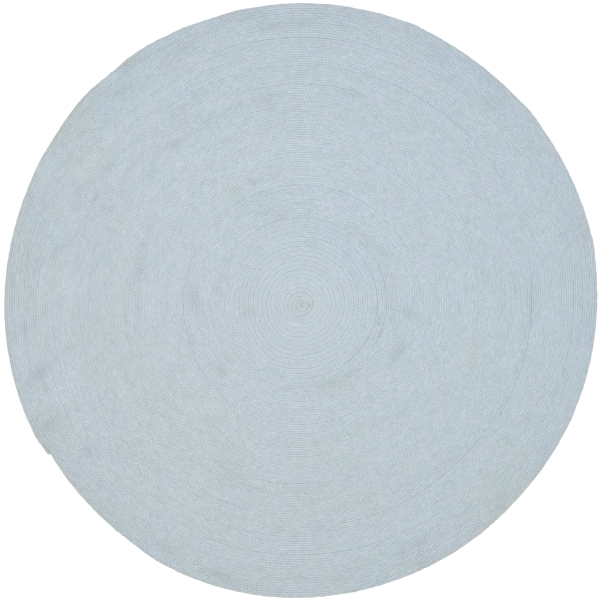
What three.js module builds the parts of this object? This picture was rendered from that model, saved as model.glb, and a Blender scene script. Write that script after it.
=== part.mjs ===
// A round braided rug lying flat on the floor, in millimetres, +Z up.
// The origin is on the floor, under the middle of the rug's box. +Y is towards the top of the rug as it is
// seen from above, with +X to the right.
//
// The real rug is one long flat braid of cotton, wound round itself from the hub outwards, counter-clockwise
// seen from above, with each turn sewn to the one inside it. It is one piece, so it is one solid here: the
// rug's own outline, as thick as the braid, with the braid's round side as its edge. The outline grows by one
// braid width in a turn, and steps back in where the braid ends and is tucked under the rim.
import * as THREE from "three";

// Driving dimensions
const MEAN_RADIUS = 914; // from the hub to the rim, over all the way round
const BRAID_WIDTH = 14.1; // one turn of the braid, which is also the step at its end
const THICKNESS = 8.5;
const EDGE_ROUND = 3.6; // radius of the rim's edge, above and below a short straight side

// The end of the braid, in degrees counter-clockwise from +X
const END_ANGLE = 212;
const END_TAPER = 4; // the tucked end narrows over this angle

const RIM_POINTS = 240;
const ROUND_STEPS = 4; // flats in each quarter round of the edge

// Where the rim stands out from a true spiral, or in if negative. The turns lie a little wider towards the
// top left, and the braid was bent more sharply at some places, which the rim shows as soft corners.
const RIM_BENDS = [
  { angle: 0, out: -4 },
  { angle: 12, out: 2 },
  { angle: 33, out: 3 },
  { angle: 40, out: 8 },
  { angle: 46, out: 4 },
  { angle: 57, out: 6 },
  { angle: 70, out: 12.5 },
  { angle: 88, out: 13.5 },
  { angle: 108, out: 9.5 },
  { angle: 125, out: 14 },
  { angle: 131, out: 10 },
  { angle: 136, out: 13 },
  { angle: 146, out: 5 },
  { angle: 162, out: 0 },
  { angle: 185, out: 0 },
  { angle: 206, out: -1 },
  { angle: 225, out: -5.5 },
  { angle: 235, out: -3.5 },
  { angle: 241, out: 1.5 },
  { angle: 262, out: -1.5 },
  { angle: 288, out: -12 },
  { angle: 302, out: -14 },
  { angle: 317, out: -17.5 },
  { angle: 328, out: -14.5 },
  { angle: 342, out: -9.5 },
];

/** How far the rim stands out at an angle: a smooth curve through the bends on each side of it. */
function bendAt(angle) {
  const count = RIM_BENDS.length;
  let after = RIM_BENDS.findIndex((bend) => bend.angle > angle);
  if (after < 0) after = count;
  // The bend at a place in the table, which goes on round the rim at both ends.
  const bend = (place) => {
    const turns = Math.floor(place / count);
    const { angle, out } = RIM_BENDS[place - turns * count];
    return { angle: angle + 360 * turns, out };
  };
  const [before, from, to, beyond] = [-2, -1, 0, 1].map((step) => bend(after + step));
  const span = to.angle - from.angle;
  const along = (angle - from.angle) / span;
  const startSlope = ((to.out - before.out) / (to.angle - before.angle)) * span;
  const endSlope = ((beyond.out - from.out) / (beyond.angle - from.angle)) * span;
  const rise = to.out - from.out;
  const cubic = startSlope + endSlope - 2 * rise;
  const square = rise - startSlope - cubic;
  return from.out + along * (startSlope + along * (square + along * cubic));
}

/** How much of its last turn the braid has made at an angle: 0 just past its end and 1 just before it. */
function lastTurn(angle) {
  const pastEnd = THREE.MathUtils.euclideanModulo(angle - END_ANGLE, 360);
  const made = pastEnd / 360;
  const toEnd = 360 - pastEnd;
  const tapered = THREE.MathUtils.smoothstep(toEnd, 0, END_TAPER);
  return made * tapered;
}

/** The rim's outline about the hub. */
function rimPoints() {
  const points = [];
  for (let i = 0; i < RIM_POINTS; i++) {
    const angle = (360 * i) / RIM_POINTS;
    const radius = MEAN_RADIUS + BRAID_WIDTH * (lastTurn(angle) - 0.5) + bendAt(angle);
    const turn = THREE.MathUtils.degToRad(angle);
    points.push(new THREE.Vector2(radius * Math.cos(turn), radius * Math.sin(turn)));
  }
  return points;
}

/** The rug: its outline, centred on its own box, with a round edge and flat faces above and below. */
function braidedRug() {
  const rim = rimPoints();
  const middle = new THREE.Box2().setFromPoints(rim).getCenter(new THREE.Vector2());
  const outline = new THREE.Shape(rim.map((point) => point.sub(middle)));
  const geometry = new THREE.ExtrudeGeometry(outline, {
    depth: THICKNESS - 2 * EDGE_ROUND,
    bevelThickness: EDGE_ROUND,
    bevelSize: EDGE_ROUND,
    bevelOffset: -EDGE_ROUND,
    bevelSegments: ROUND_STEPS,
  });
  geometry.translate(0, 0, EDGE_ROUND);
  const cotton = new THREE.MeshStandardMaterial({ color: 0xbecbd2, roughness: 0.95, metalness: 0 });
  const rug = new THREE.Mesh(geometry, cotton);
  rug.name = "braided_rug";
  return rug;
}

const group = new THREE.Group();
group.add(braidedRug());

export default group;
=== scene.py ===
# %% [markdown]
# # A round braided rug in pale blue cotton
#
# The real rug is one long flat braid of soft cotton, about 14 mm wide and 185 m long. It is wound round
# itself from the hub outwards, and every turn is sewn to the one inside it. So the whole rug is one thing
# repeated: a lobe of yarn, 11 mm long, where one of the braid's three strands comes over the other two.
# There are about 34,000 of them on each face.
#
# Everything is in metres, with the rug flat on the floor at z = 0 and +Y towards the top of the picture.

# %% Load the fixed solid and note its size
import math

import bpy
import numpy as np
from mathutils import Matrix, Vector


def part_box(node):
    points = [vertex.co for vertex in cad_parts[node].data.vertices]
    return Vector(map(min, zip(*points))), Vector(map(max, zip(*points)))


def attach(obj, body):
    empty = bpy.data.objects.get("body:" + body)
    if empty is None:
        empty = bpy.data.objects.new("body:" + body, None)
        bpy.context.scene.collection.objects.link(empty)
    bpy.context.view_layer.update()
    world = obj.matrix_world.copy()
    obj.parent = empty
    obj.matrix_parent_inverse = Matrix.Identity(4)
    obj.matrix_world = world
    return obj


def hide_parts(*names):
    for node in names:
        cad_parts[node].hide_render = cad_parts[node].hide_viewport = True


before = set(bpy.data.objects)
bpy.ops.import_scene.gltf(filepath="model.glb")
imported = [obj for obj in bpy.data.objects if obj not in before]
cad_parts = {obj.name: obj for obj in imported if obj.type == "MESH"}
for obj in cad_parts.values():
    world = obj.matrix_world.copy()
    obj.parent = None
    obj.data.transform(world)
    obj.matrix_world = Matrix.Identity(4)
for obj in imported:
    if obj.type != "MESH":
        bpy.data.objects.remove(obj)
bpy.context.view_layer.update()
rug_low, rug_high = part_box("braided_rug")
RUG_WIDTH = rug_high.x - rug_low.x
THICKNESS = rug_high.z - rug_low.z
print(f"the rug's solid is {RUG_WIDTH:.3f} m wide and {1000 * THICKNESS:.1f} mm thick")

# %% [markdown]
# ## The picture
#
# The rug is seen from straight above with no perspective to speak of, so the camera is orthographic. Its
# scale comes from where the rug's sides lie in the 600 pixel picture, and it stands a little to the side
# of the rug's middle, because the rug doesn't lie quite in the middle of its picture.

# %% Camera
PICTURE_PX = 600
RUG_LEFT_PX = 4.6
RUG_RIGHT_PX = 597
RUG_MIDDLE_DOWN_PX = 300.45
CAMERA_HEIGHT = 3.0
METRES_PER_PX = RUG_WIDTH / (RUG_RIGHT_PX - RUG_LEFT_PX)

camera_data = bpy.data.cameras.new("camera")
camera_data.type = "ORTHO"
camera_data.ortho_scale = PICTURE_PX * METRES_PER_PX
camera = bpy.data.objects.new("camera", camera_data)
camera.location.x = (PICTURE_PX / 2 - (RUG_LEFT_PX + RUG_RIGHT_PX) / 2) * METRES_PER_PX
camera.location.y = (RUG_MIDDLE_DOWN_PX - PICTURE_PX / 2) * METRES_PER_PX
camera.location.z = CAMERA_HEIGHT
bpy.context.scene.collection.objects.link(camera)
bpy.context.scene.camera = camera
print(f"the picture is {camera_data.ortho_scale:.3f} m wide")

# %% [markdown]
# ## Sums in nodes
#
# Both the light and the cotton need sums that Blender does in nodes. A sum could be built from Math nodes
# by hand, one by one, but then nobody can read it. Here one small class stands for the output of a node,
# and each operator on it adds the Math node that does it, so that a sum is written as a plain expression.

# %% A socket that can be used in a sum
class Thread:
    """The output of a node in the material that is being made. Sums with it add Math nodes."""

    tree = None

    def __init__(self, output):
        self.output = output

    @classmethod
    def node(cls, kind, settings=None, sockets=None, output=0):
        """Adds a node. Its settings are set first, and then the values or links of its sockets."""
        made = cls.tree.nodes.new(kind)
        for name, setting in (settings or {}).items():
            setattr(made, name, setting)
        for name, given in (sockets or {}).items():
            if isinstance(given, Thread):
                cls.tree.links.new(given.output, made.inputs[name])
            else:
                made.inputs[name].default_value = given
        return cls(made.outputs[output])

    def math(self, operation, *others):
        """The Math node for an operation on this value and others."""
        return self.node("ShaderNodeMath", {"operation": operation}, dict(enumerate((self, *others))))

    def __add__(self, other):
        return self.math("ADD", other)

    def __sub__(self, other):
        return self.math("SUBTRACT", other)

    def __mul__(self, other):
        return self.math("MULTIPLY", other)

    def __truediv__(self, other):
        return self.math("DIVIDE", other)

    def __rsub__(self, other):
        return self.node("ShaderNodeMath", {"operation": "SUBTRACT"}, {0: other, 1: self})

    __radd__ = __add__
    __rmul__ = __mul__


print("sums can be written out")

# %% [markdown]
# ## Floor and light
#
# The picture is a plain studio one: the floor is white and the light so even that no side of a lobe looks
# brighter than another. A white world gives light from all round, and one large soft lamp overhead gives
# the lobes a little more light on top than on their flanks. Past the floor's edge one looks at the world
# itself, so it shows itself brighter than it shines, as white as the floor. The plain view transform
# keeps the cotton's colours as they are mixed.

# %% Floor
FLOOR_SIDE = 5.0
FLOOR_COLOUR = (0.93, 0.93, 0.93, 1)
FLOOR_ROUGHNESS = 0.9
FLOOR_GAP = 0.0001  # so that the rug rests on the floor and no face lies in it

half_side = FLOOR_SIDE / 2
floor_corners = [(right * half_side, up * half_side, 0) for right, up in [(-1, -1), (1, -1), (1, 1), (-1, 1)]]
floor_mesh = bpy.data.meshes.new("floor")
floor_mesh.from_pydata(floor_corners, [], [(0, 1, 2, 3)])
floor = bpy.data.objects.new("floor", floor_mesh)
floor.location.z = -FLOOR_GAP
floor_paint = bpy.data.materials.new("floor_paint")
floor_paint.use_nodes = True
floor_finish = floor_paint.node_tree.nodes["Principled BSDF"].inputs
floor_finish["Base Color"].default_value = FLOOR_COLOUR
floor_finish["Roughness"].default_value = FLOOR_ROUGHNESS
floor_finish["Specular IOR Level"].default_value = 0
floor_mesh.materials.append(floor_paint)
bpy.context.scene.collection.objects.link(floor)
print(f"the floor is {FLOOR_SIDE:.0f} m wide")

# %% Lamp and world
WORLD_STRENGTH = 0.53
BACKDROP_STRENGTH = 1.0
LAMP_SIDE = 6.0
LAMP_HEIGHT = 5.0
LAMP_WATTS = 300

lamp_data = bpy.data.lights.new("overhead_lamp", "AREA")
lamp_data.size = LAMP_SIDE
lamp_data.energy = LAMP_WATTS
lamp = bpy.data.objects.new("overhead_lamp", lamp_data)
lamp.location.z = LAMP_HEIGHT
lamp.visible_camera = False
bpy.context.scene.collection.objects.link(lamp)

world = bpy.data.worlds.new("studio")
world.use_nodes = True
Thread.tree = world.node_tree
seen = Thread.node("ShaderNodeLightPath", output="Is Camera Ray")
strength = seen * (BACKDROP_STRENGTH - WORLD_STRENGTH) + WORLD_STRENGTH
background = world.node_tree.nodes["Background"]
background.inputs["Color"].default_value = (1, 1, 1, 1)
world.node_tree.links.new(strength.output, background.inputs["Strength"])
bpy.context.scene.world = world
bpy.context.scene.view_settings.view_transform = "Standard"
print(f"the lamp gives {LAMP_WATTS} W from {LAMP_HEIGHT:.0f} m up")

# %% [markdown]
# ## Where the turns lie
#
# A place on the rug is given by its angle about the hub, counter-clockwise from +X, and its level: how
# many turns of braid lie between it and the hub. On a perfect rug the radius would just be the level
# times the braid's width. On this one the turns are a little narrower at the hub and where the work was
# pulled tight, and the rim isn't round. The rim comes from the fixed solid, so that the braid ends where
# the solid does.

# %% The rim, read from the straight side of the solid
HUB = np.array([0.0044, -0.0108])  # the hub isn't quite under the middle of the rug's box
BRAID_WIDTH = 0.0141
BRAID_END = math.radians(210.9)  # where the braid ends at the rim
FULL_TURN = 2 * math.pi
SIDE_SHARE = 0.1  # points this near to mid height, as a share of the thickness, lie on the straight side

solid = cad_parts["braided_rug"].data
corners = np.empty(3 * len(solid.vertices))
solid.vertices.foreach_get("co", corners)
corners = corners.reshape(-1, 3)
on_side = np.abs(corners[:, 2] - THICKNESS / 2) < SIDE_SHARE * THICKNESS
side = corners[on_side, :2] - HUB
rim_angle, first = np.unique(np.round(np.arctan2(side[:, 1], side[:, 0]) % FULL_TURN, 4), return_index=True)
rim_radius = np.hypot(side[first, 0], side[first, 1])
print(f"{len(rim_angle)} points on the rim, {rim_radius.min():.3f} to {rim_radius.max():.3f} m from the hub")

# %% From level to radius, before anything bends it
# Turns from the hub, and how wide the braid lies there, in mm
WIDTHS_SEEN = [(2.5, 13.0), (8, 13.9), (15, 14.5), (28, 14.15), (40, 13.8), (47.5, 13.7), (59, 14.6)]
UNEVEN_WIDTH = 0.018  # how much one turn's width differs from the next, as a share
EVENED_TURNS = 5  # that many turns together are as wide as they should be
LEVEL_STEP = 0.01

random = np.random.default_rng(7)
mean_rim = np.interp(np.arange(0, FULL_TURN, 0.001), rim_angle, rim_radius, period=FULL_TURN).mean()
end_level = mean_rim / BRAID_WIDTH + 0.5
levels = np.arange(0, end_level + 2, LEVEL_STEP)
seen_level, seen_width = np.array(WIDTHS_SEEN).T
width = np.interp(levels, seen_level, seen_width)
each_turn = random.normal(0, UNEVEN_WIDTH, len(levels) // round(1 / LEVEL_STEP) + 2)
each_turn -= np.convolve(each_turn, np.ones(EVENED_TURNS) / EVENED_TURNS, "same")
width = width * (1 + np.interp(levels, np.arange(len(each_turn)), each_turn))
radii = np.concatenate([[0], np.cumsum(width[:-1])])
radii *= (mean_rim + BRAID_WIDTH / 2) / np.interp(end_level, levels, radii)
print(f"{end_level:.1f} turns of braid, {1000 * BRAID_WIDTH:.1f} mm wide on average")

# %% [markdown]
# ## What bends the turns
#
# Each turn follows the one inside it, so a bump near the hub goes on outwards and fades, and the rim's
# own shape starts well inside the rug. The long waves of the rim reach far in. Its corners reach only a
# few turns in. The rug also has a long bulge at the lower left, about a third of the way out, and a sharp
# pinch near the hub where the first turns were bent too hard. On top of that, hands don't sew a true
# line: every turn wanders by half a millimetre.

# %% The rim's shape in long waves and sharp corners
LONG_WAVES = 3
TAIL_REACH = math.radians(9)  # the step at the braid's end isn't part of the rim's shape

SPIRAL_LAG = (BRAID_END / FULL_TURN - (end_level - 1)) % 1  # of a turn, at which the seam leaves the hub
END_TURN = end_level - 1 + SPIRAL_LAG


def outer_level(angle):
    """The level of the rim at an angle."""
    since_end = (angle - BRAID_END) % FULL_TURN
    return end_level - 1 + since_end / FULL_TURN


even_angle = np.linspace(0, FULL_TURN, 720, endpoint=False)
rim_there = np.interp(even_angle, rim_angle, rim_radius, period=FULL_TURN)
rim_bend = rim_there - np.interp(outer_level(even_angle), levels, radii)
near_tail = np.abs((even_angle - BRAID_END + math.pi) % FULL_TURN - math.pi) < TAIL_REACH
rim_bend = np.interp(even_angle, even_angle[~near_tail], rim_bend[~near_tail], period=FULL_TURN)
waves = np.fft.rfft(rim_bend)
waves[LONG_WAVES + 1 :] = 0
long_bend = np.fft.irfft(waves, len(even_angle))
sharp_bend = rim_bend - long_bend
print(f"the rim's long waves are {1000 * np.ptp(long_bend):.0f} mm high")
print(f"its corners are {1000 * np.ptp(sharp_bend):.0f} mm high")

# %% How far a place stands out from the plain spiral
LONG_FADE = 1.5  # powers of the way out from the hub
SHARP_FADE = 10
BULGE_ANGLE = math.radians(240)
BULGE_HALF_ANGLE = math.radians(22)
BULGE_PLACE = 0.65  # the power of the way out that puts the bulge's top a third of the way out
BULGE = 0.009
HUB_SHIFT = np.array([-0.0028, -0.0037])  # the first turns lie a little down and left
HUB_SHIFT_LEVELS = 6
WANDER = 0.0011
WANDER_WAVES = 26
WANDER_COUNTS = (4, 70)  # waves in a turn
WANDER_DRIFTS = (0.15, 1.3)  # how far a wave moves round from one turn to the next, in radians
WANDER_LEVELS = 8  # the first turns wander less
RIM_HOLD = 8  # and so do the last, by this power of the way out

# The sharp bends of the first turns: where each is, how far it reaches, and how far out it stands
HUB_BENDS = [
    {"level": 4.4, "angle": 252, "levels": 0.75, "degrees": 13, "out": -0.007},
    {"level": 2.45, "angle": 253, "levels": 0.5, "degrees": 12, "out": 0.0025},
    {"level": 2.6, "angle": 306, "levels": 0.6, "degrees": 22, "out": -0.0022},
]

# Corners and flats of the rim that are too short for the solid's outline to show: where each is, half its
# length, and how far out it stands
RIM_CORNERS = [
    {"angle": 11.7, "degrees": 1.8, "out": 0.0028},
    {"angle": 37.2, "degrees": 2.5, "out": -0.0019},
    {"angle": 43.2, "degrees": 2.0, "out": -0.0015},
    {"angle": 68.0, "degrees": 1.8, "out": 0.0029},
    {"angle": 78.9, "degrees": 2.5, "out": -0.0020},
    {"angle": 102.6, "degrees": 2.2, "out": 0.0026},
    {"angle": 113.5, "degrees": 1.6, "out": 0.0022},
    {"angle": 127.8, "degrees": 3.0, "out": -0.0020},
    {"angle": 152.0, "degrees": 3.0, "out": 0.0020},
    {"angle": 337.0, "degrees": 1.5, "out": 0.0013},
]

wander_count = random.integers(*WANDER_COUNTS, WANDER_WAVES)
wander_start = random.uniform(0, FULL_TURN, WANDER_WAVES)
wander_drift = random.uniform(*WANDER_DRIFTS, WANDER_WAVES) * random.choice([-1, 1], WANDER_WAVES)
print(f"a turn wanders in {WANDER_WAVES} waves, the longest {wander_count.min()} to the turn")

# %% The place of a point on the turns
HUB_HOLE = 0.0006  # how far from the hub the braid starts to curl round it
STEADY_HUB = 1.5  # nothing bends the hub's very middle, up to this level


def soft_spot(distance, reach):
    """One in the middle of a spot, and nothing well outside its reach."""
    return np.exp(-((distance / reach) ** 2))


def turned_from(angle, middle):
    """How far an angle is from a middle one, the short way round."""
    return (angle - middle + math.pi) % FULL_TURN - math.pi


def stands_out(level, angle):
    """How far a place lies outside the plain spiral, in metres."""
    share = np.clip(level / end_level, 0, 1)
    out = np.interp(angle, even_angle, long_bend, period=FULL_TURN) * share**LONG_FADE
    out += np.interp(angle, even_angle, sharp_bend, period=FULL_TURN) * share**SHARP_FADE
    for rim_corner in RIM_CORNERS:
        aside = turned_from(angle, math.radians(rim_corner["angle"]))
        nearness = soft_spot(aside, math.radians(rim_corner["degrees"]))
        out += rim_corner["out"] * nearness * share**SHARP_FADE
    bulge = soft_spot(turned_from(angle, BULGE_ANGLE), BULGE_HALF_ANGLE)
    out += BULGE * bulge * np.sin(math.pi * share**BULGE_PLACE)
    hub = soft_spot(level, HUB_SHIFT_LEVELS)
    out += hub * (HUB_SHIFT[0] * np.cos(angle) + HUB_SHIFT[1] * np.sin(angle))
    for bend in HUB_BENDS:
        aside = soft_spot(turned_from(angle, math.radians(bend["angle"])), math.radians(bend["degrees"]))
        out += bend["out"] * aside * soft_spot(level - bend["level"], bend["levels"])
    inside = np.clip(level / WANDER_LEVELS, 0, 1) * (1 - share**RIM_HOLD)
    for count, start, drift in zip(wander_count, wander_start, wander_drift):
        out += WANDER / math.sqrt(count) / 2 * inside * np.sin(count * angle + start + drift * level)
    return out


def radius_at(level, angle):
    """The radius of a place about the hub. Just inside the hub it levels off, so that the start of the braid
    curls round the hub's middle."""
    plain = np.interp(level, levels, radii) + np.minimum(level, 0) * BRAID_WIDTH
    plain = (plain + np.hypot(plain, HUB_HOLE)) / 2
    return plain + stands_out(level, angle) * np.clip(level / STEADY_HUB, 0, 1)


print(f"the outermost turn is {radius_at(end_level, BRAID_END):.3f} m from the hub where the braid ends")

# %% [markdown]
# ## The line that the braid follows
#
# The braid's middle line is worked out in small steps. Its length then tells how many lobes the braid
# has, and turns a length along the braid back into a place on the spiral. The braid starts as a point at
# the hub's middle, where it is curled so tightly that its outer side is what takes up length.

# %% The braid's middle line
LOBE_LENGTH = 0.01086
START_TURN = SPIRAL_LAG - 1
TURN_STEP = 1 / 900
TIGHTEST_BEND = 0.005  # radius

turn_table = np.arange(START_TURN, END_TURN, TURN_STEP)
middle_radius = radius_at(turn_table - SPIRAL_LAG + 0.5, turn_table * FULL_TURN)
round_hub = np.hypot(middle_radius, TIGHTEST_BEND)[:-1] * TURN_STEP * FULL_TURN
length_table = np.concatenate([[0], np.cumsum(np.hypot(round_hub, np.diff(middle_radius)))])
braid_length = length_table[-1]
RUNS = 7
lobes = RUNS * round(braid_length / LOBE_LENGTH / RUNS)
lobe = braid_length / lobes
print(f"the braid is {braid_length:.1f} m long, with {lobes} lobes on each side of its middle")

# %% [markdown]
# ## One lobe of the braid
#
# Three strands cross each other in turn, each going over from the middle to the outside. So the braid's
# face has two rows of lobes, side by side, and each row is half a lobe ahead of the other. The lobes of a
# row lie against each other like leaves on a stem, at 45 degrees to the braid. A braid could be made from
# three twisted tubes, but for 34,000 lobes that is far too many faces, and most of them would lie inside.
# This one is a single closed skin instead. It has three rings of points in each lobe, one of them down in
# the crease. The rings slant as the creases do, so that a few points give each lobe its round form.

# %% The points of one ring
# From the braid's inner side over the top to its outer side, and back underneath. Across is -1 at the
# inner side and 1 at the outer one. Reach is the way from the middle of the top round the braid, 1 at
# either side. The crest and the crease are heights on a lobe and between two lobes, as shares of the
# braid's thickness.
RING = [
    {"across": -1, "reach": 1, "crest": 0.88, "crease": 0.86},
    {"across": -2 / 3, "reach": 2 / 3, "crest": 0.96, "crease": 0.82},
    {"across": -1 / 3, "reach": 1 / 3, "crest": 1.0, "crease": 0.76},
    {"across": 0, "reach": 0, "crest": 0.68, "crease": 0.62},
    {"across": 1 / 3, "reach": 1 / 3, "crest": 1.0, "crease": 0.76},
    {"across": 2 / 3, "reach": 2 / 3, "crest": 0.96, "crease": 0.82},
    {"across": 1, "reach": 1, "crest": 0.88, "crease": 0.86},
    {"across": 0.62, "reach": 1.38, "crest": 0.0, "crease": 0.05},
    {"across": -0.62, "reach": 1.38, "crest": 0.0, "crease": 0.05},
]
RINGS_IN_LOBE = 3
LOBE_RISE = np.array([0, 1, 0.8])  # how far up the lobe each of its three rings lies
RING_PLACE = np.array([0, -0.04, 0.03])  # and how far along it, against even steps
SLANT = 0.66  # how much further along the braid a crease is at its side than at its middle, in lobes
ROW_SHIFT = 1 / 12  # of a lobe, which puts the two rows half a lobe apart, with the two rings between
ZIGZAG = 0.08  # the middle crease goes from side to side as the strands cross it
SIDE_PRESS = 0.03  # of half a braid, by which a turn presses into its neighbour
HUB_PRESS = 3  # and how many times that more at the hub, where the turns are the tightest
HUB_PRESS_LEVELS = 4

ring_across = np.array([point["across"] for point in RING], float)
ring_reach = np.array([point["reach"] for point in RING], float)
ring_crest = np.array([point["crest"] for point in RING])
ring_crease = np.array([point["crease"] for point in RING])
row_of = np.sign(ring_across)
print(f"{len(RING)} points in a ring and {len(RING) * RINGS_IN_LOBE * 2} triangles in a lobe's length")

# %% Places of all the rings
HUB_STRAIGHT = (0.6, 3.0)  # the levels over which the first turns' creases start to slant
TAIL_STRAIGHT = 8  # lobes before the braid's end over which they stop slanting
LOBE_JITTER = 0.06  # of a lobe, along the braid


def ramp(start, end, value):
    """A smooth step from 0 at start to 1 at end."""
    t = np.clip((value - start) / (end - start), 0, 1)
    return t * t * (3 - 2 * t)


ring_count = RINGS_IN_LOBE * lobes + 1
ring = np.arange(ring_count)[:, None]
nominal = ring / RINGS_IN_LOBE  # lobes from the braid's start
level_here = np.interp(nominal * lobe, length_table, turn_table) - SPIRAL_LAG + 0.5
slanting = ramp(*HUB_STRAIGHT, level_here) * ramp(0, TAIL_STRAIGHT, lobes - nominal)
shift = slanting * (SLANT * ring_reach - ROW_SHIFT * row_of)
along = nominal + shift

# The left row's creases are one ring later than the right row's
phase = np.where(row_of < 0, ring - 1, ring) % RINGS_IN_LOBE
which_lobe = np.where(row_of < 0, ring - 1, ring) // RINGS_IN_LOBE + 1
jitter = random.normal(0, LOBE_JITTER, (lobes + 2, 2))
row_number = (row_of < 0).astype(int)
shaken = slanting * np.where(phase == 0, jitter[which_lobe, row_number], 0) * (row_of != 0)
place = along + RING_PLACE[phase] * slanting + shaken
print(f"{ring_count:,} rings")

# %% How much each stretch of seam gapes
# The seam runs round the rug as the braid does, so a length along it tells the place on it
STRETCH = 0.2  # of seam, in metres, from one change of the sewing to the next
GAPING = (0.2, 2.6)  # from a seam that is sewn tight to one that gapes, in spreads from the mean

sewing = random.normal(0, 1, int(braid_length / STRETCH) + 2)
sewing = np.convolve(sewing, np.array([0.5, 1, 0.5]) / math.sqrt(1.5), "same")


def seam_gapes(level):
    """How much the seam at a level gapes, from 0 to 1."""
    seam_length = np.interp(level + SPIRAL_LAG, turn_table, length_table)
    return ramp(*GAPING, np.interp(seam_length / STRETCH, np.arange(len(sewing)), sewing))


print(f"{100 * (sewing > sum(GAPING) / 2).mean():.0f}% of the seam gapes by more than half")

# %% [markdown]
# ## What changes from the hub to the rim
#
# The same lobe is repeated all along, but not unchanged. The first turns are wound so tightly that they
# are pressed nearly flat. Most of the seam is sewn tight, and some stretches gape and show as dark lines.
# The lobes at the free rim stand out. At its end the braid narrows, where it is tucked in and sewn down.
# Each of these is a factor that is worked out for all points at once, because a loop over half a million
# points would take minutes.

# %% How the braid's form changes
TAIL_TAPER = math.radians(4.6)  # the braid narrows over this angle before its end
TAIL_WIDTH = 0.65  # of the braid's width that is left where it is rounded off
TAIL_ROUND = math.radians(0.9)  # the rounded end
TAIL_TIP = 0.12  # of the round end's width that is left at its very tip
TAIL_HEIGHT = 0.6  # of the braid's height that is left there
RIM_LOBES = 0.18  # of half the braid's width, from a crease at the free rim out to a lobe
RIM_UNEVEN = 0.05  # and how much one lobe there differs from the next
FLAT_HUB = (0.8, 10)  # the levels over which the first, tight turns get their full relief
HUB_RELIEF = 0.35  # of the full relief, at the very hub
FREE_SIDE = 0.5  # height of the rug's outer side, as a share of the thickness
HUB_SIDES = 0.95  # height of the seams between the first turns
HUB_MIDDLE = 0.9  # and of the crease down their middle
HEART = (1.7, 2.9)  # the innermost turns are pressed nearly flat, up to these levels
HEART_FLAT = 0.8  # how nearly
HEART_HEIGHT = 0.97
CALM_HUB = (3, 11)  # the levels over which a gaping seam gets to gape in full
SEAM_DEPTH = 0.12  # by which a gaping seam is deeper, as a share of the thickness
# A gaping seam also gets painted shade, as shade falling into the gap would give
SEAM_PAINTED_SHADE = 0.085  # and darker
HEIGHT_JITTER = 0.045  # of the thickness, from one lobe to the next
SLOW_WAVE = 0.03  # of the thickness, in waves along the braid
SLOW_WAVES = 12
SLOW_LENGTHS = (0.12, 1.1)  # of those waves, in metres
# Levels near which the seam gapes all the way round: just round the heart, and where it is sewn loosely
OPEN_TURNS = [
    {"level": 2.75, "levels": 0.55, "gapes": 1.3},
    {"level": 12.5, "levels": 4.5, "gapes": 0.17},
]

slow_lengths = random.uniform(*SLOW_LENGTHS, SLOW_WAVES)
slow_starts = random.uniform(0, FULL_TURN, SLOW_WAVES)
print(f"the braid narrows over its last {math.degrees(TAIL_TAPER):.1f} degrees")

# %% Where every point lies on the turns
turn = np.interp(place * lobe, length_table, turn_table)
angle = turn * FULL_TURN
to_end = (END_TURN - turn) * FULL_TURN
rounding = np.sqrt(1 - np.clip(1 - to_end / TAIL_ROUND, 0, 1) ** 2)
tail = (TAIL_WIDTH + (1 - TAIL_WIDTH) * ramp(TAIL_ROUND, TAIL_TAPER, to_end)) * np.maximum(rounding, TAIL_TIP)
rise = LOBE_RISE[phase]
at_side = np.abs(ring_across) == 1
at_rim = (ring_across == 1) & (turn > END_TURN - 1)
rim_lobe = RIM_LOBES * (rise - LOBE_RISE.mean()) + random.normal(0, RIM_UNEVEN, lobes + 2)[which_lobe]
swing = ZIGZAG * np.cos(FULL_TURN * ring / RINGS_IN_LOBE) * (row_of == 0)
press = SIDE_PRESS * (1 + HUB_PRESS * soft_spot(level_here, HUB_PRESS_LEVELS))
across = ring_across * (1 + press * at_side) + swing + rim_lobe * at_rim
level = turn - SPIRAL_LAG + (1 + across) / 2 * tail
radius = radius_at(level, angle)
print(f"{radius.size:,} points, up to {radius.max():.3f} m from the hub")

# %% How high every point lies
at_hub = 1 - ramp(*FLAT_HUB, level)
at_heart = HEART_FLAT * (1 - ramp(*HEART, level))
relief = (1 - (1 - HUB_RELIEF) * at_hub) * (1 - at_heart)
crest = ring_crest + (HUB_SIDES - ring_crest) * at_side * at_hub
crest += (HUB_MIDDLE - ring_crest) * (ring_across == 0) * at_hub
crest += (HEART_HEIGHT - crest) * at_heart * (ring_crest > 0)
crest = np.where(at_rim, FREE_SIDE, crest)
jolt = random.normal(0, HEIGHT_JITTER, (lobes + 2, 2))[which_lobe, row_number]
bumpy = 1 + jolt * (row_of != 0) * (1 - at_heart)
height = crest - (crest - ring_crease) * (1 - rise) * relief * (ring_crest > 0)
height += (ring_crease * (1 - rise)) * (ring_crest == 0)
height = height * np.where(rise > 0, bumpy, 1)
gaping = seam_gapes(level) * ramp(*CALM_HUB, level)
for open_turn in OPEN_TURNS:
    opened = open_turn["gapes"] * soft_spot(level - open_turn["level"], open_turn["levels"])
    gaping = np.maximum(gaping, opened)
gaping = gaping * at_side
height -= SEAM_DEPTH * gaping
slow = sum(np.sin(FULL_TURN * place * lobe / size + start) for size, start in zip(slow_lengths, slow_starts))
height = height * (1 + SLOW_WAVE * slow / math.sqrt(SLOW_WAVES) * (1 - at_heart))
up = THICKNESS * height * (TAIL_HEIGHT + (1 - TAIL_HEIGHT) * tail)
points = np.stack([HUB[0] + radius * np.cos(angle), HUB[1] + radius * np.sin(angle), up], axis=2)
print(f"the braid's top is {1000 * points[..., 2].max():.1f} mm up at most")
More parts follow.
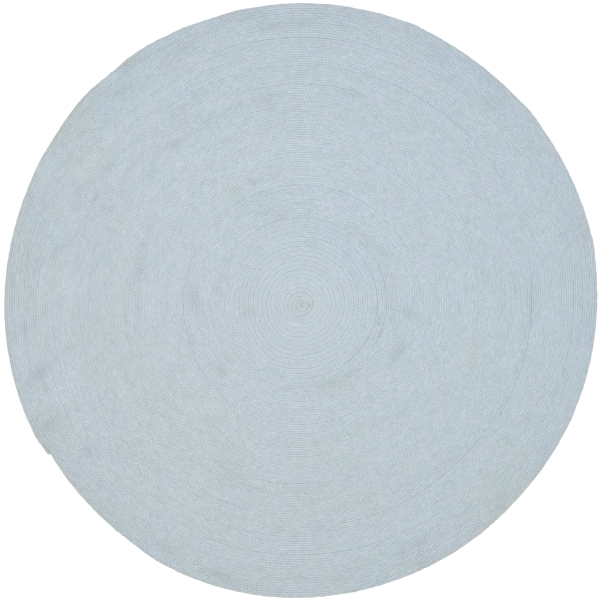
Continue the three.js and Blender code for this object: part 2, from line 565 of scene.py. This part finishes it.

# %% [markdown]
# ## Marks
#
# A pale rug shows every mark. This one is a little greyer towards its rim, where feet step on it,
# yellower at the lower left and bluer at the right. It also has soiled spots, lighter and darker streaks,
# and patches that have yellowed or reddened. The clear ones are listed one by one. Each is an oval
# with soft edges, so its share at a point is a plain formula, worked out here for every point of the mesh
# and read by the cotton's material.

# %% The marks, one by one
def mark(right, up, half_length, half_width, turn, dark=0, yellow=0, rose=0):
    """An oval mark: its middle, from the rug's middle, and half its length and width, all in mm. The turn of
    its length is in degrees from +X. Dark and yellow are the percent of light and of blue that it takes away,
    and rose the percent of red that it adds."""
    return {
        "at": (right / 1000, up / 1000),
        "size": (half_length / 1000, half_width / 1000),
        "turn": math.radians(turn),
        "dark": dark / 100,
        "yellow": yellow / 100,
        "rose": rose / 100,
    }


MARKS = [
    # Small soiled spots
    mark(-804, -222, 26, 17, 53, dark=7),
    mark(300, -157, 27, 14, 63, dark=12, yellow=1),
    mark(-328, 4, 26, 18, 105, dark=9.5, yellow=2, rose=-1),
    mark(-390, 474, 18, 14, 45, dark=5.5, yellow=2, rose=-2),
    mark(-160, -34, 22, 16, 17, dark=5.5, yellow=4, rose=-1),
    mark(332, -40, 22, 15, 81, dark=11, rose=1),
    mark(-245, -220, 15, 13, 137, dark=12.5, yellow=4, rose=-2.8),
    mark(-410, -235, 20, 13, 120, dark=4.5, yellow=-1.5, rose=-2),
    mark(-345, -100, 35, 10, 115, dark=5.5, yellow=-1),
    mark(-548, 654, 30, 15, 30, dark=7, yellow=3.5, rose=-7.2),
    mark(-594, 407, 28, 15, 63, dark=6.5),
    mark(-465, 390, 20, 13, 40, dark=7, yellow=-1),
    mark(-710, 440, 25, 15, 40, dark=6, yellow=3, rose=1),
    mark(-640, 312, 35, 12, 70, dark=6.5, yellow=1, rose=1),
    mark(-656, -460, 21, 11, 117, dark=11, yellow=-2),
    mark(-550, -465, 25, 18, 120, dark=3, yellow=1.5, rose=-1),
    mark(-140, 361, 14, 11, 24, dark=11),
    mark(-66, -706, 20, 13, 3, dark=4, yellow=3.5),
    mark(60, -700, 14, 10, 0, dark=6, yellow=-1, rose=1.5),
    mark(366, -750, 38, 14, 34, dark=7, rose=1),
    mark(310, -780, 18, 12, 30, dark=7, yellow=1, rose=-1),
    mark(170, -820, 30, 13, 18, dark=5, rose=-1),
    mark(420, -190, 16, 12, 60, dark=5, yellow=2.5),
    mark(700, -370, 18, 12, 60, dark=5, yellow=1, rose=-1),
    mark(750, -460, 18, 12, 55, dark=5.5, yellow=1.2, rose=1.8),
    mark(735, -300, 25, 18, 60, dark=1.5, yellow=1.5, rose=3.5),
    mark(700, 480, 18, 14, 125, dark=5.5, rose=-1.5),
    mark(588, 605, 20, 16, 130, dark=8, rose=-0.5),
    mark(538, 352, 18, 15, 110, dark=4.5, yellow=-3, rose=3),
    mark(575, 68, 45, 13, 115, dark=7, rose=1),
    mark(670, 50, 22, 13, 80, dark=2, yellow=1),
    mark(800, 200, 20, 12, 110, dark=2, rose=0.5),
    mark(-100, 629, 20, 16, 49, dark=6, yellow=1.5),
    mark(170, 634, 24, 12, 170, dark=5.5, yellow=1.5),
    mark(109, 652, 30, 12, 165, dark=1.2, yellow=2.2),
    mark(430, 752, 32, 24, 140, dark=4, yellow=-1.5, rose=-1.5),
    mark(27, -14, 6, 5, 90, dark=16),
    mark(21, -25, 4, 3, 45, dark=11),
    mark(3, -20, 8, 3, 8, dark=7),
    mark(3, -9, 7, 3, 0, dark=10),
    mark(-140, 62, 22, 10, 10, dark=5, yellow=1),
    mark(-500, 495, 20, 13, 45, dark=5, yellow=2, rose=-3),
    mark(-470, 570, 50, 12, 35, dark=4, yellow=-1, rose=1),
    mark(-370, 395, 30, 10, 40, dark=4, yellow=1, rose=-1.2),
    mark(-565, -620, 20, 12, 150, dark=3.5, yellow=-1.2, rose=4.3),
    mark(-715, -145, 18, 6, 20, dark=5, rose=-1.5),
    mark(-790, -262, 25, 6, 106, dark=9, yellow=3, rose=3),
    mark(160, 85, 35, 12, 120, dark=3.5, yellow=-1, rose=0.5),
    mark(237, -50, 45, 12, 100, dark=5, rose=-1),
    mark(330, -480, 20, 14, 40, dark=2, yellow=-1),
    mark(590, -370, 16, 12, 60, dark=2.5, yellow=2, rose=-1.5),
    mark(190, 345, 30, 12, 155, dark=4, yellow=-1),
    mark(300, 530, 30, 14, 155, dark=3.5, rose=1.5),
    mark(-10, 460, 50, 14, 0, dark=2),
    # Lighter and darker streaks and lines, some of them side by side
    mark(-10, 332, 120, 8, 0, dark=4.5),
    mark(-155, 332, 80, 9, 24, dark=-1.8, yellow=1.6, rose=0.5),
    mark(-30, 358, 70, 8, 3, dark=-4.5),
    mark(120, 345, 70, 8, 160, dark=-4, yellow=1, rose=1),
    mark(235, 270, 80, 8, 135, dark=-3.5, yellow=1.2, rose=-0.4),
    mark(-503, -30, 70, 8, 92, dark=7.5, rose=-0.5),
    mark(-613, -50, 50, 7, 94, dark=3, rose=-1),
    mark(-200, 735, 80, 9, 16, dark=3, yellow=2, rose=-0.5),
    mark(-300, 750, 60, 10, 22, dark=-3, rose=0.8),
    mark(85, -259, 40, 13, 14, dark=6, yellow=5, rose=-1),
    mark(155, -222, 35, 10, 33, dark=5, yellow=1.5, rose=-2),
    mark(165, -165, 60, 10, 50, dark=4.5, yellow=1),
    mark(279, -15, 70, 12, 96, dark=4, yellow=1.5),
    mark(195, 190, 50, 11, 137, dark=3.5, yellow=1.5),
    mark(260, 150, 18, 10, 130, dark=8, yellow=-1),
    mark(-75, 266, 55, 16, 175, dark=7.5, rose=-0.5),
    mark(-65, 305, 40, 16, 175, dark=6, yellow=1, rose=-3),
    mark(717, -10, 50, 11, 89, dark=7.5, yellow=2.5, rose=-0.5),
    mark(675, 240, 35, 10, 105, dark=1, yellow=-0.5, rose=1),
    mark(807, 80, 40, 8, 95, dark=5.5, rose=3.5),
    mark(-160, 600, 60, 13, 15, dark=2.5, rose=0.5),
    mark(-80, 670, 90, 10, 4, dark=3),
    mark(-369, 768, 40, 14, 31, dark=6.5, rose=-1),
    mark(-94, 842, 60, 13, 10, dark=6, yellow=4, rose=-0.5),
    mark(0, 855, 50, 13, 3, dark=2.5, yellow=2, rose=-1.5),
    mark(-273, 555, 80, 13, 35, dark=5.5, yellow=0.5, rose=-1),
    mark(-332, 623, 70, 10, 34, dark=6, yellow=2, rose=-0.5),
    mark(-405, 668, 120, 8, 34, dark=4.5, rose=-0.5),
    mark(-470, 640, 60, 9, 40, dark=-2.5, yellow=1),
    mark(-495, 105, 34, 14, 77, dark=8, yellow=3, rose=-1),
    mark(-840, -77, 85, 11, 40, dark=4, yellow=-1, rose=-0.5),
    mark(-808, -225, 95, 10, 42, dark=5, yellow=-2),
    mark(-770, -375, 60, 14, 35, dark=6),
    mark(-831, 99, 24, 17, 18, dark=2.5, yellow=-1, rose=-1),
    mark(-739, 164, 50, 11, 37, dark=6),
    mark(-180, -568, 60, 10, 170, dark=2.5, yellow=1, rose=1),
    mark(532, -450, 32, 13, 40, dark=3),
    mark(432, -512, 45, 11, 38, dark=4, yellow=4, rose=-2.5),
    mark(220, -380, 80, 14, 15, dark=1.5, yellow=1.5),
    mark(140, -425, 35, 14, 50, dark=-0.2, yellow=0.6),
    # Broad patches that have yellowed, reddened or stayed pale
    mark(4, -12, 30, 26, 33, dark=8.2, yellow=2.5, rose=1.5),
    mark(13, -3, 18, 12, 60, dark=-2, yellow=1.8),
    mark(-18, -18, 16, 14, 0, dark=3, rose=1),
    mark(44, -18, 22, 40, 0, dark=-2, yellow=1.5, rose=-0.5),
    mark(-300, -330, 50, 40, 45, yellow=3.5, rose=1),
    mark(-233, -500, 45, 28, 118, dark=4, yellow=3),
    mark(-430, -400, 120, 70, 60, yellow=2, rose=0.5),
    mark(-480, -225, 110, 50, 160, yellow=0.5, rose=1.5),
    mark(-610, -100, 60, 40, 100, dark=1.5, yellow=0.5, rose=0.5),
    mark(-557, 30, 50, 25, 95, dark=-1, yellow=0.5, rose=2),
    mark(-740, 38, 40, 25, 25, dark=-2, yellow=1, rose=2),
    mark(-865, 70, 120, 30, 92, dark=-1, yellow=1.5, rose=1.5),
    mark(-740, -250, 160, 70, 108, dark=-2.5, yellow=-0.5),
    mark(-717, -250, 50, 30, 60, dark=-1.5, yellow=-1.5),
    mark(-610, -400, 80, 35, 110, dark=0.5, yellow=-1, rose=-1),
    mark(-310, -640, 150, 90, 20, yellow=1, rose=0.5),
    mark(-430, -735, 30, 15, 45, dark=-2, yellow=-4, rose=-1.5),
    mark(-170, -420, 60, 50, 10, dark=1, yellow=1, rose=1),
    mark(180, -600, 130, 60, 5, dark=2, yellow=0.5, rose=2),
    mark(20, -650, 30, 40, 0, dark=1, yellow=3, rose=0.5),
    mark(55, -455, 40, 22, 150, dark=1, yellow=2.5, rose=1.5),
    mark(610, -555, 110, 45, 48, yellow=4.5, rose=0.3),
    mark(575, -586, 30, 30, 0, dark=-0.5, yellow=-0.5, rose=3),
    mark(538, -515, 25, 15, 45, dark=-3, yellow=-3.8, rose=1.7),
    mark(535, -160, 45, 22, 80, dark=1, yellow=5, rose=-0.5),
    mark(560, 160, 60, 28, 105, dark=1, yellow=1.5, rose=-2.5),
    mark(365, 225, 30, 28, 120, dark=1.5, yellow=2.5, rose=1),
    mark(520, 310, 20, 18, 0, dark=1.5, yellow=2),
    mark(262, 560, 35, 25, 160, yellow=1, rose=1),
    mark(360, 550, 28, 22, 150, dark=1, yellow=3, rose=-1),
    mark(40, 715, 30, 24, 170, dark=2, yellow=4.5, rose=-2.5),
    mark(160, 700, 30, 16, 10, dark=-3.5, yellow=3, rose=-1),
    mark(-160, 710, 50, 22, 15, yellow=3.5, rose=-2),
    mark(-390, 650, 50, 25, 35, dark=-1, yellow=-1.5, rose=-1),
    mark(-80, 390, 40, 20, 10, dark=4.5, yellow=3, rose=-0.5),
    mark(-187, 400, 80, 18, 28, dark=-3.5),
    mark(-205, 345, 40, 18, 25, dark=1, yellow=4, rose=-0.5),
    mark(-620, 120, 40, 20, 60, rose=-2),
    mark(-600, 620, 45, 25, 50, dark=1, yellow=-2, rose=-2),
    mark(-660, 420, 40, 28, 60, dark=-1, yellow=3.5, rose=2),
    mark(-690, 530, 90, 30, 52, dark=2, yellow=3, rose=1),
    mark(175, 105, 35, 25, 120, yellow=-2, rose=-1),
    mark(830, 60, 220, 50, 94, rose=-1),
    mark(150, -270, 50, 18, 25, dark=1.5, yellow=3.5, rose=2),
    mark(20, 185, 40, 12, 0, dark=4, yellow=1.5),
    mark(80, -435, 25, 12, 15, dark=1, yellow=5, rose=-3),
    mark(440, -745, 40, 14, 30, dark=-2, yellow=1.5, rose=2),
    mark(-440, 10, 25, 50, 0, yellow=-3.5, rose=0.5),
    mark(-420, 150, 30, 25, 60, dark=1, yellow=-4, rose=1),
    mark(-400, 430, 80, 22, 40, dark=-3.5, yellow=-2, rose=-1),
    mark(-780, 420, 35, 20, 60, dark=-2, yellow=-4, rose=1),
    mark(-700, 120, 60, 40, 80, dark=1, yellow=-1.5),
    # At the rim
    mark(-50, 885, 250, 25, 0, dark=3),
    mark(-180, 878, 60, 12, 13, dark=5, yellow=1.2, rose=-0.5),
    mark(160, 860, 40, 16, 170, dark=0.6, yellow=1.5, rose=-3),
    mark(360, 810, 40, 18, 155, dark=3.5, rose=-0.5),
    mark(-752, 510, 80, 13, 56, dark=4.5, yellow=6.4, rose=3.7),
    mark(-660, 620, 60, 12, 47, dark=1.5, yellow=4, rose=0.5),
    mark(-635, 655, 70, 8, 43, dark=3, yellow=2.8, rose=3.8),
    mark(-532, 732, 35, 10, 35, dark=10.5, yellow=1.5, rose=0.7),
    mark(-840, 325, 30, 12, 110, dark=8, yellow=1, rose=1.8),
    mark(-868, 250, 50, 8, 106, dark=1, yellow=3.5, rose=1.8),
    mark(-893, 50, 45, 9, 92, dark=4, yellow=5, rose=-1),
    mark(-800, -430, 55, 9, 122, dark=3, yellow=5.5),
    mark(-780, -460, 16, 10, 122, dark=4, yellow=3, rose=1.5),
    mark(640, -630, 80, 9, 47, dark=1, yellow=3.5, rose=3.3),
    mark(-775, -398, 45, 18, 118, dark=2.6, yellow=1.5, rose=-1),
    mark(-720, -535, 110, 12, 127, dark=3, yellow=-0.3, rose=3.4),
    mark(-600, -665, 50, 18, 135, dark=4, yellow=2, rose=-0.5),
    mark(-418, -762, 33, 18, 145, dark=4.5),
    mark(-250, -848, 42, 14, 163, dark=9, yellow=2.5, rose=1),
    mark(-130, -885, 50, 12, 172, dark=6, yellow=-1, rose=3),
    mark(105, -865, 35, 25, 5, dark=0.5, yellow=2, rose=1.5),
    mark(382, -808, 30, 16, 25, dark=7, yellow=2),
    mark(545, -708, 70, 10, 38, dark=4, yellow=4.5, rose=4.5),
    mark(622, -619, 40, 15, 46, dark=5, yellow=5, rose=-4),
    mark(692, -578, 35, 10, 52, yellow=2, rose=3.2),
    mark(730, -520, 40, 10, 55, dark=4.5, yellow=2, rose=1),
    mark(885, -100, 50, 20, 83, dark=1.5, yellow=-3),
    mark(873, 205, 45, 18, 103, dark=4.5, yellow=1.5, rose=3),
    mark(570, 695, 70, 16, 140, dark=3.5, yellow=-1),
    mark(258, 848, 40, 16, 163, dark=3.5, rose=2.5),
]
print(f"{len(MARKS)} marks are placed by hand")

# %% How much light and blue every point loses, and how much red it gains
# The wear from the hub out to the rim: these shares at some shares of the way out
WEAR = [
    {"out": 0.0, "dark": 0.018, "yellow": 0.01, "rose": 0.005},
    {"out": 0.1, "dark": 0.011, "yellow": -0.007, "rose": 0.004},
    {"out": 0.18, "dark": 0.003, "yellow": -0.005, "rose": 0.004},
    {"out": 0.25, "dark": 0.007, "yellow": -0.014, "rose": 0.003},
    {"out": 0.29, "dark": 0.012, "yellow": 0.006, "rose": -0.001},
    {"out": 0.35, "dark": 0.002, "yellow": -0.007, "rose": 0},
    {"out": 0.5, "dark": 0.003, "yellow": 0, "rose": 0.001},
    {"out": 0.65, "dark": 0.011, "yellow": 0.004, "rose": 0.002},
    {"out": 0.8, "dark": 0.017, "yellow": 0, "rose": -0.003},
    {"out": 0.87, "dark": 0.024, "yellow": 0, "rose": -0.002},
    {"out": 0.93, "dark": 0.047, "yellow": 0, "rose": -0.003},
    {"out": 1.0, "dark": 0.05, "yellow": 0, "rose": -0.002},
]
# The side of the rug that has most of each, in degrees, and how much more than the hub it has
SIDES = {
    "dark": {"side": 290, "more": 0.011},
    "yellow": {"side": 223, "more": 0.0215},
    "rose": {"side": 203, "more": 0.011},
}

# At the rim the outer row of lobes is darker and warmer, and the row inside it is lighter
RIM_ROWS = [
    {"across": 0.4, "dark": 0.045, "yellow": 0.022, "rose": 0.032},
    {"across": -0.45, "dark": -0.022, "yellow": 0, "rose": 0},
]
ROW_WIDTH = 0.45  # of half the braid's width
MARK_FADE = 0.7  # a mark has half its strength at the edge of its oval

plan = points[..., :2]
way_out = np.clip(level / end_level, 0, 1)
tone = {}
for name, lean in SIDES.items():
    tone[name] = np.interp(way_out, [row["out"] for row in WEAR], [row[name] for row in WEAR])
    tone[name] += lean["more"] * np.tanh(2 * way_out) * np.cos(angle - math.radians(lean["side"]))
# Painted shade along the gaping seams
tone["dark"] += SEAM_PAINTED_SHADE * gaping
for row in RIM_ROWS:
    in_row = soft_spot(across - row["across"], ROW_WIDTH) * (turn > END_TURN - 1)
    for name in tone:
        tone[name] += row[name] * in_row
for spot in MARKS:
    aside = plan - spot["at"]
    lengthwise = (aside @ (math.cos(spot["turn"]), math.sin(spot["turn"]))) / spot["size"][0]
    widthwise = (aside @ (-math.sin(spot["turn"]), math.cos(spot["turn"]))) / spot["size"][1]
    share = np.exp(-MARK_FADE * (lengthwise**2 + widthwise**2))
    for name in tone:
        tone[name] += spot[name] * share
print(f"the darkest point loses {100 * tone['dark'].max():.0f}% of its light")

# %% [markdown]
# ## The cotton
#
# Each strand is a bundle of soft, barely twisted cotton yarns, dyed a pale grey blue. Close up one sees
# the yarns running along each lobe, some a little lighter than others. From further off one sees that no
# two lobes are quite alike, and that the dye drifts from one length of braid to the next. The material
# works in the braid's own terms, how many lobes along and how far across, so the yarns follow the strands
# wherever the braid turns.

# %% Nodes that the cotton uses again and again
def attribute(name):
    """A number that the mesh holds for each point."""
    return Thread.node("ShaderNodeAttribute", {"attribute_name": name}, output="Fac")


def smooth_ramp(start, end, value):
    """A smooth step from 0 at start to 1 at end, as ramp() is for plain numbers."""
    ends = {"From Min": start, "From Max": end, "Value": value}
    return Thread.node("ShaderNodeMapRange", {"interpolation_type": "SMOOTHSTEP"}, ends)


def vector(x=0.0, y=0.0, z=0.0):
    """A vector from values or plain numbers."""
    return Thread.node("ShaderNodeCombineXYZ", sockets={"X": x, "Y": y, "Z": z})


def vector_math(operation, *parts, output="Vector"):
    """The Vector Math node for an operation on these vectors."""
    return Thread.node("ShaderNodeVectorMath", {"operation": operation}, dict(enumerate(parts)), output)


def soft_noise(place, scale, detail=2.0):
    """Soft noise about 0, from -1 to 1."""
    noise = Thread.node("ShaderNodeTexNoise", sockets={"Vector": place, "Scale": scale, "Detail": detail})
    return (noise - 0.5) * 2


def chance(*numbers):
    """A number from 0 to 1 that is another one at every place given by two or three whole numbers."""
    settings = {"noise_dimensions": f"{len(numbers)}D"}
    return Thread.node("ShaderNodeTexWhiteNoise", settings, {"Vector": vector(*numbers)})


print("the cotton's helpers are ready")

# %% Where a point lies on its lobe and on its strand
STRAND_PATH = 3.6 / 7.05  # how far the strands swing from the braid's middle, of half its width
PATH_START = -0.092  # where a strand's path is when its lobe starts at the middle, of the strand's whole wave
YARNS_ACROSS = 6.1  # yarns in half the braid's width
YARN_STEP = 0.37  # of a yarn, from one lobe to the next, so that their yarns don't line up

cotton = bpy.data.materials.new("cotton_braid")
cotton.use_nodes = True
Thread.tree = cotton.node_tree
skin = cotton.node_tree.nodes["Principled BSDF"]

lobes_along = attribute("along")
side_to_side = attribute("across")
reach = attribute("reach")
inner_row = side_to_side.math("LESS_THAN", 0.0)
lobe_count = lobes_along - reach * SLANT + ROW_SHIFT - inner_row * (2 * ROW_SHIFT + 1 / RINGS_IN_LOBE)
lobe_number = lobe_count.math("FLOOR")
in_lobe = lobe_count - lobe_number

# The strand's own path, so that its yarns run along it
swing_share = (in_lobe / 3 + reach * (SLANT / 3) + PATH_START) * FULL_TURN
off_strand = reach - swing_share.math("SINE") * STRAND_PATH
fray = soft_noise(vector(lobes_along * 1.3, reach * 2.0, inner_row * 5), 2.0)
yarn_count = (off_strand + fray * 0.05) * YARNS_ACROSS + lobe_number * YARN_STEP
yarn_number = yarn_count.math("FLOOR")
in_yarn = yarn_count - yarn_number
yarn_round = (in_yarn * FULL_TURN).math("COSINE") * -0.5 + 0.5

any_lobe = chance(lobe_number, inner_row)
any_yarn = chance(lobe_number, inner_row, yarn_number)
any_crease = chance(lobe_number, inner_row + 7)
near_crease = 1 - smooth_ramp(0.0, 0.13, in_lobe) * smooth_ramp(0.0, 0.1, 1 - in_lobe)
near_middle = 1 - smooth_ramp(0.02, 0.16, reach)
near_seam = smooth_ramp(0.84, 1.0, side_to_side.math("ABSOLUTE"))
yarn_round = (yarn_round - 0.5) * (1 - near_seam) + 0.5  # the yarns can't be told apart down in the seam
print(f"{YARNS_ACROSS} yarns lie side by side in half the braid's width")

# %% The yarn's tone as a share of its usual one, with painted light and shade in creases and seams
# Painted shade in the creases between lobes and down the braid's middle groove, as a share of the tone
CREASE_PAINTED_SHADE = 0.24  # at most
MIDDLE_PAINTED_SHADE = (0.12, 0.18)  # at least, and how much more at most
LOBE_SHADES = 0.06  # from the darkest lobe to the lightest
YARN_SHADES = 0.06
DRIFT = 0.015  # how much the dye drifts
FLUFF = 0.04  # and how much the loose fibres show

rug_place = Thread.node("ShaderNodeTexCoord", output="Object")
from_hub = vector_math("MULTIPLY_ADD", rug_place, (1, 1, 0), (-HUB[0], -HUB[1], 0))
way_round = vector_math("NORMALIZE", from_hub)
distance = vector_math("LENGTH", from_hub, output="Value")

strand_length = vector(lobes_along * 0.011, lobe_number.math("MODULO", 3.0) * 7.0, 0.0)
drift = soft_noise(strand_length, 1.6, 3.0)
fluff = soft_noise(vector(lobes_along * 3.0, off_strand * 14.0, inner_row * 9), 2.2, 3.0)
# Noise along each seam that decides where it gets painted shade
seam_shade_noise = soft_noise(vector(lobes_along * 0.02, side_to_side.math("SIGN") * 3.0, 0.0), 1.5)
lighter = (any_lobe - 0.5) * LOBE_SHADES + (any_yarn - 0.5) * YARN_SHADES
lighter = lighter + drift * DRIFT + fluff * FLUFF + 0.006
# Painted shade where shade would fall: in the creases between lobes, more in some than in others, and down
# the middle groove
darker = near_crease * any_crease * CREASE_PAINTED_SHADE + near_middle * (any_crease * MIDDLE_PAINTED_SHADE[1] + MIDDLE_PAINTED_SHADE[0])
# Along the seams, painted light on the whole, for light that scatters through the cotton, and painted shade
# in the stretches where the noise makes the seam show
darker = darker + near_seam * (seam_shade_noise * 0.1 - 0.03)

# The tight turns at the hub are more even, and its very heart the most: their random tones and their painted
# light and shade are fainter
uneven = smooth_ramp(0.0, 0.35, distance) * 0.88 + 0.35
uneven = uneven * (smooth_ramp(0.01, 0.034, distance) * 0.8 + 0.2)
# The grooves between the yarns get up to 6% of painted shade, beside the yarns' bump
shade = (1 + (lighter - darker) * uneven) * (0.94 + yarn_round * 0.06)
print(f"a crease is up to {100 * CREASE_PAINTED_SHADE:.0f}% darker than a lobe")

# %% Colour: lighter and darker streaks, and what has soaked in or worn off, drift along the turns
COTTON_BLUE = (0.467, 0.538, 0.5845)
ROSE_NOISE = 0.07
YELLOW_NOISE = 0.063


def along_turns(start, steps_round, steps_out):
    """A place for noise whose patches lie along the turns."""
    stretched = vector_math("MULTIPLY", way_round, (steps_round, steps_round, 0))
    return vector_math("ADD", stretched, vector(z=distance * steps_out + start))


# Lighter and darker streaks along the turns, strongest at the upper left
streaks = soft_noise(along_turns(90.0, 3.3, 25.0), 1.0, 3.0)
upper_left = vector_math("DOT_PRODUCT", way_round, (-0.64, 0.77, 0), output="Value")
streaky = smooth_ramp(0.1, 0.9, upper_left) * 0.04 + 0.022
# dark carries the marks and the wear, and also the painted shade of the gaping seams
shade = shade * (1 - attribute("dark") + streaks * streaky)
rose_noise = soft_noise(along_turns(10.0, 10.0, 33.0), 1.0, 4.0) * ROSE_NOISE
yellow_noise = soft_noise(along_turns(50.0, 9.0, 30.0), 1.0, 4.0) * YELLOW_NOISE
red = shade * (1 + attribute("rose") + rose_noise)
blue = shade * (1 - attribute("yellow") + yellow_noise + rose_noise * 0.6)
coloured = vector_math("MULTIPLY", COTTON_BLUE, vector(red, shade, blue))
cotton.node_tree.links.new(coloured.output, skin.inputs["Base Color"])
print("the cotton has its colour")

# %% The yarns' relief, and the finish
YARN_RELIEF = 0.0004
FINISH = {"Roughness": 0.92, "Specular IOR Level": 0.2, "Sheen Weight": 0.12, "Sheen Roughness": 0.5}

yarn_height = yarn_round * 0.75 + fluff * 0.35 - near_crease * 0.5
bump_sockets = {"Strength": 0.7, "Distance": YARN_RELIEF, "Height": yarn_height}
bump = Thread.node("ShaderNodeBump", sockets=bump_sockets, output="Normal")
cotton.node_tree.links.new(bump.output, skin.inputs["Normal"])
for name, given in FINISH.items():
    skin.inputs[name].default_value = given
print(f"the cotton has {len(cotton.node_tree.nodes)} nodes")

# %% [markdown]
# ## The braid, in seven runs
#
# A million triangles in one mesh is more than most programs handle well, so the braid is cut into seven
# runs of 26 m, as a maker joins one length of braid to the next. Each run is a closed skin. It ends in a
# crease, on the very points where the next one starts, so no joint shows.
#
# The runs also get a map for anyone who bakes the cotton into pictures. A run is nearly two thousand
# times as long as it is wide, so the map cuts it into rows, and gives the face more room than the
# underside.

# %% The map of a run
MAP_ROWS = 27
TOP_ROOM = 0.68  # of a row's height, for the braid's face
MAP_MARGIN = 0.04  # of a row's height, kept empty
END_SIZE = 0.4  # of a row's height, the size of a run's two ends on the map
END_PLACES = (0.25, 0.75)

columns = len(RING)
top_columns = int((ring_crest > 0).sum())
map_up = np.concatenate([np.linspace(0, TOP_ROOM, top_columns), np.linspace(TOP_ROOM, 1, 4)[1:]])
rings_in_run = RINGS_IN_LOBE * lobes // RUNS
rings_in_row = math.ceil(rings_in_run / MAP_ROWS)


def run_map():
    """The map's place of every corner of a run's faces, in their own order."""
    rings = np.arange(rings_in_run)[:, None]
    row = rings // rings_in_row
    left = (rings % rings_in_row) / rings_in_row + np.zeros((1, columns))
    right = left + 1 / rings_in_row
    low = (row + MAP_MARGIN / 2 + (1 - MAP_MARGIN) * map_up[:-1]) / (MAP_ROWS + 1)
    high = (row + MAP_MARGIN / 2 + (1 - MAP_MARGIN) * map_up[1:]) / (MAP_ROWS + 1)
    face_map = np.stack([left, low, left, high, right, high, right, low], axis=2).reshape(-1, 2)
    around = np.arange(columns) / columns * FULL_TURN
    end_shape = np.stack([np.cos(around), np.sin(around)], axis=1) * END_SIZE
    end_middles = [(place * (MAP_ROWS + 1), MAP_ROWS + 0.5) for place in END_PLACES]
    return np.concatenate([face_map, *[(end_shape + middle) / (MAP_ROWS + 1) for middle in end_middles]])


print(f"the map has {MAP_ROWS} rows of {rings_in_row} rings, and one for the ends")

# %% Build the runs
def braid_run(number):
    """One run of the braid, as a closed mesh with its map and the numbers that the cotton reads."""
    start = number * rings_in_run
    part = slice(start, start + rings_in_run + 1)
    rings = np.arange(rings_in_run)[:, None]
    column = np.arange(columns)[None, :]
    beside = (column + 1) % columns
    first = rings * columns
    near = np.stack([first + column, first + beside], axis=2)
    quads = np.concatenate([near, near[..., ::-1] + columns], axis=2).reshape(-1, 4)
    ends = np.stack([np.arange(columns)[::-1], rings_in_run * columns + np.arange(columns)])

    mesh = bpy.data.meshes.new(f"braid_run_{number + 1}")
    mesh.vertices.add((rings_in_run + 1) * columns)
    mesh.vertices.foreach_set("co", points[part].ravel())
    mesh.loops.add(quads.size + ends.size)
    mesh.loops.foreach_set("vertex_index", np.concatenate([quads.ravel(), ends.ravel()]))
    mesh.polygons.add(len(quads) + 2)
    loop_start = np.append(np.arange(len(quads)) * 4, quads.size + np.array([0, columns]))
    mesh.polygons.foreach_set("loop_start", loop_start)
    on_show = (column < top_columns - 1) | ((column == top_columns - 1) & (turn[part][:-1] > END_TURN - 1))
    mesh.polygons.foreach_set("use_smooth", np.append(on_show.ravel(), [False, False]))
    mesh.update(calc_edges=True)

    numbers = {
        "along": along[part],
        "across": np.broadcast_to(across, along.shape)[part],
        "reach": np.broadcast_to(ring_reach, along.shape)[part],
    }
    numbers.update({name: share[part] for name, share in tone.items()})
    for name, values in numbers.items():
        held = mesh.attributes.new(name, "FLOAT", "POINT")
        held.data.foreach_set("value", values.ravel().astype(np.float32))

    mesh.uv_layers.new(name="OFBake").data.foreach_set("uv", run_map().ravel().astype(np.float32))
    mesh.materials.append(cotton)
    mesh.validate()
    return bpy.data.objects.new(mesh.name, mesh)


for number in range(RUNS):
    run = braid_run(number)
    bpy.context.scene.collection.objects.link(run)
    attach(run, "root")
    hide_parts("braided_rug")
